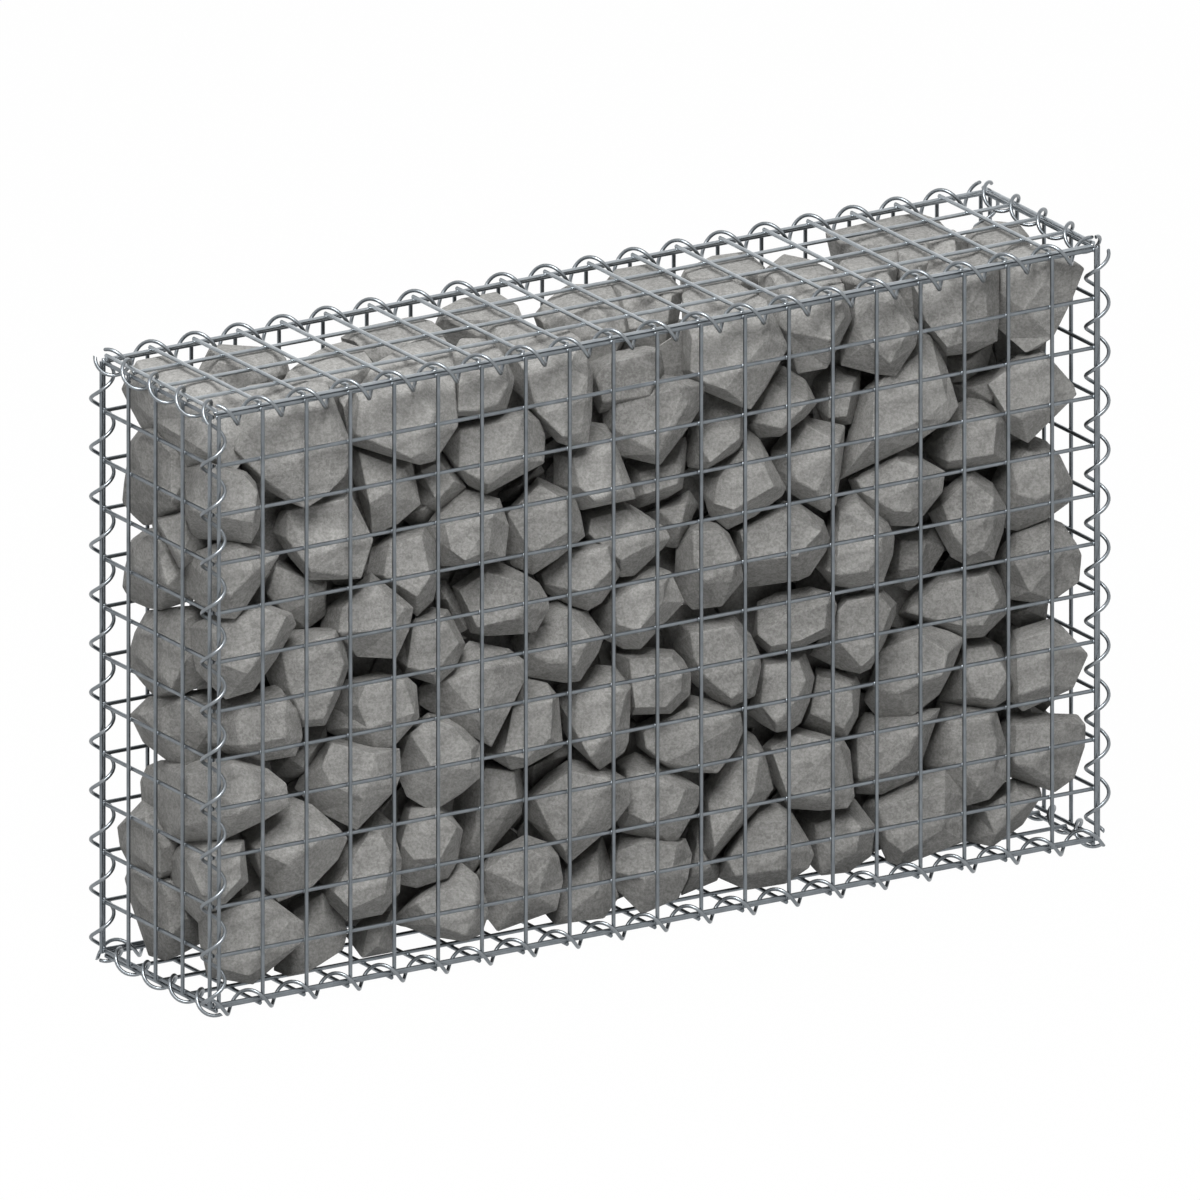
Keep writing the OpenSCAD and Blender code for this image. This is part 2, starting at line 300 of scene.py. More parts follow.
def makeRock(name, worn):
    mat, tree, bsdf, group = newMaterial(name, brokenFace)
    tone = tree.nodes.new("ShaderNodeAttribute")
    tone.attribute_name = "stoneTone"
    grit = group.outputs["Grit"]
    shade = weighted(tree, (group.outputs["Cloud"], rockLook["cloud"]),
                     (group.outputs["Streak"], rockLook["streak"]),
                     (grit, rockLook["grit"]), (tone.outputs["Fac"], rockLook["tone"]))
    base = blendColor(tree, shade, rockLook["dark"], rockLook["light"])
    if worn:
        base = blendColor(tree, sums(tree, "MULTIPLY", grit, rockLook["worn"]), base, rockLook["dust"])
    tree.links.new(base, bsdf.inputs["Base Color"])
    tree.links.new(spread(tree, grit, 0.0, 1.0, *rockLook["rough"]), bsdf.inputs["Roughness"])
    bsdf.inputs["Specular IOR Level"].default_value = rockLook["specular"]
    addBump(tree, bsdf, group.outputs["Height"], rockLook["bump"], rockLook["depth"])
    return mat


meshZinc = makeZinc("meshZinc", zincLook["mesh"])
lidZincPaintedLight = makeZinc("lidZincPaintedLight", zincLook["lid"])
spiralZinc = makeZinc("spiralZinc", zincLook["spiral"])
rockFace = makeRock("rockFace", False)
rockEdge = makeRock("rockEdge", True)
print("materials made")

# welded panels: each wire is one cylinder, arrayed, with a bead at each weld
panelMake = {
    "sides": 14, "endRim": 0.0004,
    "beadWide": 0.0027, "beadHigh": 0.0017, "beadSegments": 8, "beadRings": 4,
}


def wireRow(length, start, turn, count, step):
    deselectAll()
    bpy.ops.mesh.primitive_cylinder_add(vertices=panelMake["sides"], radius=basket["wire"] / 2,
                                        depth=length, location=start, rotation=turn)
    row = bpy.context.object
    bpy.ops.object.mode_set(mode="EDIT")
    bpy.ops.mesh.select_mode(type="FACE")
    bpy.ops.mesh.select_all(action="DESELECT")
    bpy.ops.object.mode_set(mode="OBJECT")
    for face in row.data.polygons:
        face.select = len(face.vertices) > 4  # the two cut ends
    bpy.ops.object.mode_set(mode="EDIT")
    bpy.ops.mesh.inset(thickness=panelMake["endRim"], depth=0)
    bpy.ops.object.mode_set(mode="OBJECT")
    settle(row)
    repeatAlong(row, count, step)
    return row


def weldedPanel(name, node, sizeX, sizeY, cellsX, cellsY, turn, place, zinc=meshZinc):
    alongX, alongY = (sizeX / cellsX, 0, 0), (0, sizeY / cellsY, 0)
    quarter = math.pi / 2
    inner = wireRow(sizeX + 2 * innerOver, (sizeX / 2, 0, 0), (0, quarter, 0), cellsY + 1, alongY)
    outer = wireRow(sizeY + 2 * outerOver, (0, sizeY / 2, layerStep), (quarter, 0, 0), cellsX + 1, alongX)
    deselectAll()
    bpy.ops.mesh.primitive_uv_sphere_add(segments=panelMake["beadSegments"], radius=1.0,
                                         ring_count=panelMake["beadRings"], location=(0, 0, layerStep / 2))
    bead = bpy.context.object
    bead.scale = (panelMake["beadWide"], panelMake["beadWide"], panelMake["beadHigh"])
    settle(bead)
    repeatAlong(bead, cellsX + 1, alongX)
    repeatAlong(bead, cellsY + 1, alongY)
    pick(inner, outer, bead)
    bpy.ops.object.join()
    inner.rotation_euler = [math.radians(a) for a in turn]
    inner.location = place
    settle(inner)
    finishPiece(inner, name, zinc)
    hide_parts(node)


longWay = (basket["length"], basket["height"], basket["cellsLong"], basket["cellsHigh"])
endWay = (basket["depth"], basket["height"], basket["cellsDeep"], basket["cellsHigh"])
flatWay = (basket["length"], basket["depth"], basket["cellsLong"], basket["cellsDeep"])
weldedPanel("frontMesh", "front_panel", *longWay, (90, 0, 0), (-halfL, -halfD - innerOff, lift))
weldedPanel("backMesh", "back_panel", *longWay, (90, 0, 180), (halfL, halfD + innerOff, lift))
weldedPanel("leftEndMesh", "left_end_panel", *endWay, (90, 0, -90), (-halfL - innerOff, halfD, lift))
weldedPanel("rightEndMesh", "right_end_panel", *endWay, (90, 0, 90), (halfL + innerOff, -halfD, lift))
# the lid wires take the lighter zinc, which paints in the light from above
weldedPanel("lidMesh", "lid_panel", *flatWay, (0, 0, 0), (-halfL, -halfD, lift + boxH + innerOff), lidZincPaintedLight)
weldedPanel("baseMesh", "base_panel", *flatWay, (180, 0, 0), (-halfL, halfD, lift - innerOff))
print("panels made")

# spirals: a round section screwed along each edge, one turn a cell
coil = {
    "wire": 0.003, "drawn": 0.0037, "play": 0.0018, "seat": 0.0003, "slack": 0.001, "lowSlack": -0.00035,
    "topTrim": 0.001, "lowTrim": -0.007, "crossTrim": -0.004, "postTrim": 0.003,
    "solidSides": 8, "sides": 12, "steps": 28, "merge": 0.00001,
}
edgeMid = innerOff / 2
postMid = outerOff / 2
coilR = outerOff - edgeMid + basket["wire"] / 2 + coil["play"] + coil["wire"] / 2
halfFacet = math.pi / coil["solidSides"]
chordLoss = coilR * (1 - math.cos(halfFacet))  # what the solids' straight steps cut off
longShift = coil["play"] - chordLoss - coil["seat"]
postReach = coilR - coil["wire"] / 2 - postMid * math.sqrt(2) - basket["wire"] / 2 / math.cos(halfFacet)
postShift = (postReach - chordLoss - coil["seat"]) / math.sqrt(2)


def edgeSpiral(name, node, length, cells, trim, phase, turn, place):
    pitch = length / cells
    run = length - 2 * trim
    turns = run / pitch
    slope = math.atan2(pitch, 2 * math.pi * coilR)
    slack = coil["lowSlack"] if place[2] < lift else coil["slack"]  # the lowest loops stand on the floor
    deselectAll()
    bpy.ops.mesh.primitive_circle_add(vertices=coil["sides"], radius=coil["drawn"] / 2,
                                      location=(coilR + slack, 0, 0), rotation=(math.pi / 2, 0, 0))
    spiral = bpy.context.object
    spiral.scale = (1, 1 / math.cos(slope), 1)  # so that the leaning wire stays round
    settle(spiral)
    steps = round(turns * coil["steps"])
    useModifier(spiral, "SCREW", axis="Z", angle=2 * math.pi * turns, screw_offset=run, steps=steps,
                render_steps=steps, use_normal_calculate=True)
    bpy.ops.object.mode_set(mode="EDIT")
    onAll(bpy.ops.mesh.remove_doubles, threshold=coil["merge"])
    onAll(bpy.ops.mesh.fill_holes, sides=0)
    onAll(bpy.ops.mesh.normals_make_consistent, inside=False)
    bpy.ops.object.mode_set(mode="OBJECT")
    spiral.rotation_euler = (0, 0, math.radians(phase) + 2 * math.pi * trim / pitch)
    spiral.location = (0, 0, trim)
    settle(spiral)
    spiral.rotation_euler = [math.radians(a) for a in turn]
    spiral.location = place
    settle(spiral)
    finishPiece(spiral, name, spiralZinc)
    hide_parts(node)


topZ, lowZ = lift + boxH + edgeMid, lift - edgeMid
for name, node, side, z, inward, trim, phase in (
        ("frontTopSpiral", "front_top_spiral", -1, topZ - longShift, 0, coil["topTrim"], 90),
        ("frontBottomSpiral", "front_bottom_spiral", -1, lowZ, longShift, coil["lowTrim"], 168),
        ("backTopSpiral", "back_top_spiral", 1, topZ - longShift, 0, coil["topTrim"], 66),
        ("backBottomSpiral", "back_bottom_spiral", 1, lowZ, longShift, coil["lowTrim"], 356)):
    edgeSpiral(name, node, basket["length"], basket["cellsLong"], trim, phase,
               (90, 0, 90), (-halfL, side * (halfD + edgeMid - inward), z))
for name, node, side, z, phase in (
        ("leftTopSpiral", "left_top_spiral", -1, topZ, 270),
        ("leftBottomSpiral", "left_bottom_spiral", -1, lowZ, 173),
        ("rightTopSpiral", "right_top_spiral", 1, topZ, 27),
        ("rightBottomSpiral", "right_bottom_spiral", 1, lowZ, 156)):
    edgeSpiral(name, node, basket["depth"], basket["cellsDeep"], coil["crossTrim"], phase,
               (0, -90, -90), (side * (halfL + edgeMid), -halfD, z))
for name, node, sideX, sideY, phase in (
        ("frontLeftSpiral", "front_left_spiral", -1, -1, 144),
        ("frontRightSpiral", "front_right_spiral", 1, -1, 3),
        ("backLeftSpiral", "back_left_spiral", -1, 1, 54),
        ("backRightSpiral", "back_right_spiral", 1, 1, 45)):
    edgeSpiral(name, node, basket["height"], basket["cellsHigh"], coil["postTrim"], phase, (0, 0, 0),
               (sideX * (halfL + postMid + postShift), sideY * (halfD + postMid - postShift), lift))
print("spirals made")

# stones: front layer, course by course from the ground up. Each stone is how far it is set back,
# its outline and the corners of its foremost facet. Both are rows of x and z in turn, in millimetres
# along the wall and up from the lowest wire, as the camera sees them on a plane behind the front mesh
courses = {}
courses[1] = [
    (0, [-502, 87, -475, 90, -437, 97, -422, 87, -386, 57, -387, 37, -442, 6, -492, 22, -501, 60],
     [-490, 82, -435, 88, -392, 55, -394, 40, -446, 14, -485, 30]),
    (22, [-400, 80, -365, 87, -345, 62, -335, 40, -340, 22, -380, 6, -400, 6, -417, 15],
     [-395, 70, -362, 82, -360, 58, -382, 30]),
    (30, [-335, 35, -317, 48, -284, 52, -282, 10, -317, 10],
     [-310, 40, -290, 42, -300, 18]),
    (0, [-278, 45, -245, 70, -227, 73, -205, 86, -187, 70, -177, 45, -175, 30, -182, 12, -200, 7, -235, 18,
      -272, 36],
     [-255, 55, -230, 62, -205, 62, -185, 45, -182, 22, -200, 12, -232, 28]),
    (0, [-187, 72, -170, 90, -142, 95, -132, 102, -107, 90, -95, 75, -90, 50, -97, 22, -162, 12, -177, 32,
      -180, 60],
     [-175, 75, -135, 92, -98, 68, -102, 28, -128, 48, -146, 62]),
    (25, [-90, 70, -57, 80, -45, 87, -39, 70, -26, 22, -42, 4, -97, 7, -107, 19, -90, 45],
     [-85, 60, -50, 72, -48, 34, -84, 32]),
    (0, [-36, 72, -20, 87, 7, 80, 50, 67, 57, 50, 52, 27, 42, 10, 2, 1, -18, 25, -37, 42],
     [-25, 68, 5, 72, 45, 58, 45, 35, 5, 35, -28, 48]),
    (30, [55, 85, 67, 90, 72, 55, 92, 35, 87, 20, 47, 12, 55, 50],
     [65, 60, 80, 35, 58, 28]),
    (0, [120, 75, 135, 87, 155, 85, 172, 72, 190, 42, 196, 27, 190, 15, 165, 4, 122, 5, 92, 22, 90, 30,
      100, 52],
     [118, 62, 132, 70, 165, 66, 185, 35, 160, 18, 110, 20, 100, 38]),
    (6, [178, 72, 212, 72, 243, 75, 257, 56, 266, 44, 262, 15, 237, 3, 206, 5, 195, 17, 186, 50],
     [200, 55, 235, 62, 250, 45, 248, 22, 213, 28]),
    (0, [262, 75, 297, 82, 317, 90, 345, 87, 367, 57, 366, 12, 322, 4, 297, 0, 282, 7, 271, 32, 255, 65],
     [272, 62, 302, 60, 350, 62, 358, 20, 300, 12, 282, 28]),
    (4, [372, 49, 400, 52, 425, 65, 452, 55, 456, 42, 435, 17, 402, 1, 372, 12],
     [392, 42, 430, 52, 446, 40, 405, 12]),
]
courses[2] = [
    (85, [-586, 135, -580, 147, -545, 140, -500, 125, -478, 90, -495, 60, -525, 50, -542, 47, -560, 55,
      -565, 75, -580, 112],
     [-576, 140, -545, 122, -520, 82, -535, 70, -575, 115]),
    (6, [-541, 147, -522, 160, -482, 156, -454, 152, -449, 110, -475, 92, -503, 78, -522, 98, -536, 122],
     [-517, 143, -458, 142, -453, 112, -475, 98, -500, 105]),
    (0, [-400, 187, -375, 174, -345, 145, -336, 134, -347, 115, -377, 92, -412, 85, -427, 102, -447, 137,
      -454, 162, -425, 175],
     [-398, 172, -440, 142, -402, 120, -382, 128, -352, 142]),
    (4, [-300, 155, -285, 140, -274, 102, -276, 70, -295, 52, -334, 52, -360, 80, -364, 97, -347, 120,
      -322, 137],
     [-325, 115, -312, 131, -297, 132, -285, 108, -290, 70, -330, 62, -348, 82]),
    (6, [-278, 125, -268, 155, -255, 165, -232, 152, -217, 138, -204, 120, -210, 90, -220, 76, -255, 72,
      -276, 80],
     [-262, 148, -235, 148, -210, 124, -228, 97, -258, 100, -272, 118]),
    (28, [-215, 155, -177, 185, -140, 172, -134, 145, -137, 125, -175, 95, -192, 75, -207, 90, -202, 117],
     [-178, 178, -145, 168, -142, 142, -190, 110]),
    (36, [-137, 170, -82, 187, -80, 177, -122, 150],
     [-120, 172]),
    (0, [-130, 142, -105, 160, -80, 170, -55, 162, -32, 150, -14, 137, -14, 115, -32, 97, -57, 82, -82, 67,
      -97, 85, -127, 120],
     [-120, 140, -80, 158, -35, 142, -18, 122, -68, 100, -85, 80, -100, 100]),
    (3, [-28, 158, -5, 164, 17, 152, 45, 132, 67, 117, 64, 100, 42, 70, 30, 70, -20, 88, -30, 110],
     [-15, 148, 15, 140, 50, 118, 45, 95, 10, 92, -12, 105]),
    (10, [87, 130, 117, 167, 130, 157, 140, 140, 150, 102, 140, 92, 117, 77, 82, 42, 72, 55, 70, 97,
      72, 120],
     [92, 128, 118, 155, 136, 140, 128, 100, 85, 55, 78, 100]),
    (0, [140, 145, 155, 155, 175, 160, 205, 147, 230, 137, 237, 125, 242, 80, 235, 69, 205, 72, 170, 80,
      155, 105, 142, 130],
     [150, 143, 178, 152, 203, 137, 228, 132, 236, 85, 222, 78, 168, 95]),
    (8, [235, 137, 257, 160, 312, 150, 340, 150, 332, 132, 322, 110, 315, 90, 310, 85, 275, 76, 247, 82,
      240, 110],
     [248, 140, 322, 138, 305, 110, 282, 97, 250, 95]),
    (4, [340, 157, 367, 150, 390, 142, 405, 135, 415, 102, 416, 67, 397, 51, 372, 49, 350, 85, 322, 95,
      322, 112, 335, 137],
     [352, 135, 398, 132, 410, 100, 408, 70, 385, 65, 358, 95]),
    (-9, [410, 122, 422, 132, 455, 125, 497, 117, 506, 105, 505, 85, 495, 54, 472, 45, 455, 55, 422, 69,
      417, 95],
     [430, 118, 490, 108, 492, 60, 470, 58, 450, 72, 428, 80]),
]
courses[3] = [
    (95, [-595, 190, -567, 212, -525, 208, -505, 170, -522, 138, -545, 125, -555, 130, -580, 147,
      -592, 170],
     [-580, 195, -565, 195, -548, 160, -548, 135, -565, 150]),
    (10, [-567, 232, -560, 246, -545, 249, -465, 237, -427, 220, -407, 202, -404, 180, -432, 170, -475, 159,
      -550, 166, -564, 195],
     [-515, 230, -465, 232, -412, 190, -452, 180, -518, 180]),
    (34, [-427, 227, -395, 230, -387, 260, -360, 252, -357, 237, -370, 222, -385, 205, -415, 212],
     [-400, 228, -365, 240, -385, 215]),
    (0, [-360, 235, -347, 237, -325, 225, -300, 217, -277, 215, -275, 190, -282, 175, -324, 143, -365, 168,
      -382, 185, -392, 196, -387, 205],
     [-352, 234, -362, 212, -352, 192, -295, 195, -302, 214, -312, 170]),
    (0, [-278, 222, -255, 238, -242, 245, -220, 237, -200, 222, -185, 205, -184, 172, -204, 160, -237, 147,
      -265, 167, -276, 192],
     [-262, 228, -240, 240, -215, 228, -192, 200, -190, 178, -238, 192]),
    (2, [-130, 261, -107, 252, -95, 237, -90, 187, -130, 174, -147, 174, -177, 195, -162, 210, -147, 237],
     [-145, 234, -100, 234, -95, 192, -130, 181, -155, 190]),
    (6, [-95, 247, -72, 252, -50, 261, -30, 256, -12, 232, -15, 180, -20, 170, -47, 157, -77, 187, -85, 200,
      -95, 237],
     [-72, 235, -30, 240, -16, 228, -18, 190, -46, 174, -56, 170, -74, 200]),
    (2, [-5, 192, 30, 200, 57, 212, 85, 202, 112, 185, 115, 167, 107, 150, 87, 130, 62, 135, 32, 145,
      12, 160, -2, 172],
     [5, 185, 55, 200, 105, 182, 108, 172, 68, 162, 48, 156, 28, 150, 8, 168]),
    (8, [140, 237, 167, 237, 187, 232, 197, 207, 192, 185, 182, 165, 172, 160, 155, 160, 140, 170, 122, 185,
      125, 197, 135, 222],
     [142, 228, 180, 226, 188, 205, 178, 190, 162, 170, 155, 168, 138, 190]),
    (14, [200, 217, 220, 210, 245, 200, 250, 190, 247, 160, 235, 142, 217, 145, 185, 160, 187, 172,
      197, 202],
     [202, 208, 240, 192, 242, 165, 232, 150, 214, 169, 194, 172]),
    (6, [282, 235, 320, 240, 350, 227, 367, 217, 359, 200, 352, 185, 340, 167, 310, 150, 272, 155, 257, 175,
      267, 205],
     [275, 222, 320, 228, 352, 205, 345, 185, 322, 184, 292, 175, 268, 185]),
    (12, [367, 215, 390, 216, 410, 202, 425, 160, 420, 150, 402, 142, 390, 144, 370, 157, 340, 160,
      357, 190, 360, 200],
     [372, 205, 400, 205, 418, 170, 402, 150, 385, 155, 372, 180]),
    (-9, [425, 215, 437, 217, 467, 220, 480, 210, 500, 187, 509, 177, 492, 147, 437, 134, 422, 147,
      417, 190],
     [430, 205, 466, 208, 500, 178, 470, 150, 432, 150]),
]
courses[4] = [
    (65, [-580, 302, -560, 316, -525, 315, -480, 312, -465, 285, -480, 250, -520, 240, -530, 242, -550, 260,
      -565, 272],
     [-570, 300, -525, 305, -495, 297, -494, 270, -545, 275]),
    (8, [-477, 300, -442, 302, -412, 304, -400, 286, -390, 272, -387, 247, -395, 230, -430, 231, -470, 245,
      -492, 260, -495, 277],
     [-461, 277, -455, 286, -405, 286, -406, 250, -457, 250]),
    (4, [-335, 295, -300, 297, -267, 286, -257, 276, -254, 244, -280, 222, -300, 217, -312, 222, -360, 251,
      -350, 272],
     [-322, 268, -312, 286, -270, 284, -258, 248, -310, 243]),
    (0, [-251, 274, -230, 275, -207, 295, -195, 310, -152, 295, -134, 280, -135, 260, -171, 202, -200, 225,
      -227, 240, -250, 257],
     [-220, 276, -158, 278, -145, 270, -172, 238, -192, 243]),
    (6, [-147, 303, -120, 328, -95, 335, -62, 318, -43, 291, -50, 275, -70, 251, -86, 252, -127, 265,
      -137, 285],
     [-125, 310, -80, 318, -55, 290, -72, 265, -105, 275, -130, 290]),
    (2, [-33, 273, -5, 273, 37, 262, 48, 250, 56, 235, 55, 215, 34, 200, -8, 206, -14, 215, -18, 240],
     [-12, 262, 35, 255, 50, 236, 48, 218, 30, 206, -5, 212, -5, 236]),
    (3, [47, 287, 67, 290, 107, 284, 125, 262, 134, 242, 136, 230, 129, 202, 102, 195, 85, 205, 65, 222,
      55, 232, 39, 265],
     [58, 275, 105, 275, 112, 258, 130, 232, 122, 208, 105, 202, 72, 232, 62, 250]),
    (6, [135, 295, 155, 300, 192, 300, 216, 290, 222, 277, 217, 250, 185, 242, 147, 242, 129, 260,
      132, 277],
     [135, 262, 168, 274, 212, 280, 212, 254, 182, 248, 150, 248]),
    (4, [222, 272, 232, 283, 275, 282, 290, 266, 289, 255, 277, 230, 262, 207, 250, 204, 228, 212, 195, 232,
      205, 240, 218, 250],
     [226, 270, 236, 278, 272, 277, 285, 262, 265, 218, 252, 210, 226, 240]),
    (12, [295, 255, 315, 282, 340, 287, 400, 286, 410, 270, 417, 245, 415, 235, 390, 217, 370, 219,
      335, 237],
     [305, 256, 342, 278, 395, 278, 408, 250, 390, 228, 370, 231, 330, 245]),
    (28, [420, 250, 465, 246, 462, 222, 432, 218, 415, 232],
     [440, 235]),
    (-8, [404, 290, 415, 306, 430, 317, 462, 324, 480, 315, 495, 293, 501, 280, 500, 253, 470, 241,
      450, 242, 420, 251, 410, 275],
     [428, 285, 460, 300, 492, 285, 492, 258, 470, 248, 446, 252]),
]
courses[5] = [
    (75, [-562, 404, -527, 402, -495, 398, -480, 360, -490, 325, -522, 315, -552, 317, -565, 332, -580, 350,
      -581, 367, -575, 385],
     [-570, 380, -525, 385, -518, 350, -535, 322, -550, 340, -572, 360]),
    (4, [-515, 380, -487, 387, -432, 390, -400, 374, -395, 362, -417, 332, -442, 305, -472, 302, -495, 325,
      -504, 335],
     [-490, 375, -432, 386, -402, 370, -415, 341, -445, 321, -480, 338]),
    (5, [-395, 357, -345, 350, -340, 335, -334, 310, -345, 282, -360, 256, -387, 259, -400, 285, -420, 305,
      -427, 320, -412, 340],
     [-408, 338, -350, 345, -338, 312, -350, 285, -362, 262, -384, 264, -400, 300]),
    (0, [-307, 399, -287, 380, -261, 357, -266, 335, -280, 310, -322, 319, -347, 348, -363, 355, -360, 372,
      -330, 380],
     [-338, 370, -308, 392, -266, 356, -275, 335, -343, 346]),
    (8, [-255, 350, -237, 352, -220, 347, -209, 325, -201, 310, -212, 288, -232, 275, -268, 291, -279, 310,
      -268, 333],
     [-258, 340, -225, 342, -208, 312, -235, 285, -265, 298]),
    (1, [-177, 386, -160, 385, -135, 370, -117, 357, -107, 340, -106, 330, -120, 310, -135, 310, -175, 315,
      -192, 321, -202, 342, -212, 370],
     [-205, 365, -175, 378, -130, 358, -118, 345, -128, 322, -185, 325]),
    (4, [-85, 387, -57, 388, -32, 385, -29, 360, -24, 351, -35, 337, -45, 326, -60, 321, -80, 330,
      -107, 347, -120, 367],
     [-112, 366, -85, 382, -38, 380, -30, 356, -60, 338, -108, 355]),
    (0, [-55, 316, -36, 338, -5, 353, 17, 351, 33, 342, 48, 310, 20, 291, 0, 272, -18, 275, -42, 290],
     [-30, 325, 5, 338, 28, 330, 30, 310, -2, 290, -25, 300]),
    (4, [70, 389, 87, 382, 100, 370, 112, 345, 116, 322, 92, 300, 60, 302, 47, 315, 40, 337, 42, 367,
      55, 385],
     [60, 380, 95, 372, 110, 345, 105, 322, 75, 325, 62, 345]),
    (3, [142, 387, 162, 392, 180, 387, 207, 365, 214, 347, 210, 335, 192, 314, 180, 311, 120, 314, 115, 342,
      102, 375],
     [115, 370, 160, 382, 205, 355, 178, 335, 125, 338]),
    (2, [222, 382, 245, 386, 256, 377, 281, 350, 288, 335, 286, 318, 275, 292, 240, 293, 218, 300, 200, 322,
      210, 340, 213, 360],
     [228, 372, 250, 374, 275, 345, 278, 320, 265, 302, 225, 308]),
    (30, [285, 340, 335, 342, 346, 312, 330, 292, 306, 278, 290, 286, 276, 296],
     [298, 330, 325, 325, 318, 300, 295, 300]),
    (0, [370, 386, 380, 385, 400, 370, 416, 342, 412, 320, 402, 295, 372, 294, 355, 305, 340, 332, 330, 352,
      342, 370],
     [345, 358, 375, 378, 402, 355, 405, 325, 395, 302, 375, 302, 358, 325]),
    (4, [422, 407, 447, 410, 462, 402, 477, 385, 491, 357, 487, 337, 462, 325, 430, 319, 415, 325, 400, 370,
      410, 387],
     [424, 384, 440, 395, 468, 388, 476, 352, 452, 346, 432, 354]),
]
courses[6] = [
    (85, [-579, 480, -565, 487, -545, 488, -510, 470, -492, 435, -505, 410, -547, 405, -560, 409, -580, 420,
      -589, 435, -587, 450],
     [-578, 472, -556, 485, -528, 436, -540, 428, -576, 450]),
    (60, [-557, 500, -520, 501, -485, 495, -475, 470, -500, 448, -526, 440, -552, 480],
     [-550, 495, -522, 497, -515, 470, -525, 450]),
    (5, [-520, 455, -497, 456, -466, 464, -454, 450, -414, 436, -430, 420, -451, 391, -462, 382, -477, 385,
      -495, 397, -515, 415],
     [-480, 448, -456, 450, -440, 425, -467, 405, -482, 412]),
    (32, [-412, 432, -385, 415, -359, 400, -359, 387, -360, 367, -380, 357, -395, 360, -402, 376, -427, 395,
      -430, 407],
     [-415, 425, -362, 396, -375, 385, -404, 377, -425, 398]),
    (14, [-305, 425, -282, 436, -247, 436, -234, 418, -231, 385, -237, 362, -255, 349, -270, 366, -290, 380,
      -310, 400],
     [-285, 425, -250, 428, -240, 385, -255, 368, -292, 395]),
    (32, [-235, 380, -222, 378, -212, 362, -203, 345, -198, 325, -208, 322, -222, 345, -235, 362],
     [-220, 358]),
    (2, [-200, 466, -177, 457, -162, 450, -152, 422, -156, 392, -200, 392, -225, 395, -230, 420, -245, 435,
      -230, 452],
     [-222, 434, -168, 435, -170, 398, -200, 396, -215, 408]),
    (0, [-117, 464, -95, 450, -77, 440, -70, 420, -65, 397, -95, 380, -122, 369, -145, 382, -152, 395,
      -154, 435],
     [-150, 434, -115, 456, -85, 435, -72, 400, -122, 390, -133, 405]),
    (1, [-67, 422, -20, 424, 0, 410, 27, 389, 32, 378, 25, 370, -7, 348, -22, 349, -30, 361, -62, 395],
     [-55, 412, -15, 415, 0, 395, 0, 372, -22, 365, -58, 398]),
    (25, [-16, 465, 7, 470, 22, 456, 50, 477, 52, 470, 47, 427, 30, 420, 0, 416, -20, 425],
     [0, 450, 40, 452, 42, 432, 5, 428]),
    (26, [0, 407, 37, 417, 55, 422, 65, 407, 55, 387, 42, 367, 30, 370, 20, 390],
     [20, 408, 52, 410, 45, 385]),
    (8, [74, 432, 100, 445, 122, 472, 135, 460, 146, 435, 164, 407, 160, 400, 130, 385, 100, 377, 80, 395,
      72, 420],
     [90, 430, 118, 455, 142, 430, 155, 408, 107, 395, 85, 405]),
    (5, [180, 476, 205, 465, 232, 457, 230, 432, 225, 412, 222, 380, 210, 375, 192, 390, 165, 405, 152, 430,
      150, 447],
     [170, 440, 190, 465, 226, 442, 200, 398, 178, 412]),
    (0, [267, 417, 295, 424, 315, 412, 345, 392, 342, 372, 312, 344, 285, 349, 270, 360, 245, 387,
      239, 402],
     [248, 400, 292, 412, 315, 402, 335, 385, 312, 355, 290, 362, 255, 385]),
    (10, [350, 435, 360, 457, 375, 462, 390, 457, 410, 442, 416, 430, 416, 392, 402, 391, 350, 395,
      337, 405, 320, 420],
     [345, 428, 372, 448, 405, 432, 405, 398, 352, 402]),
]
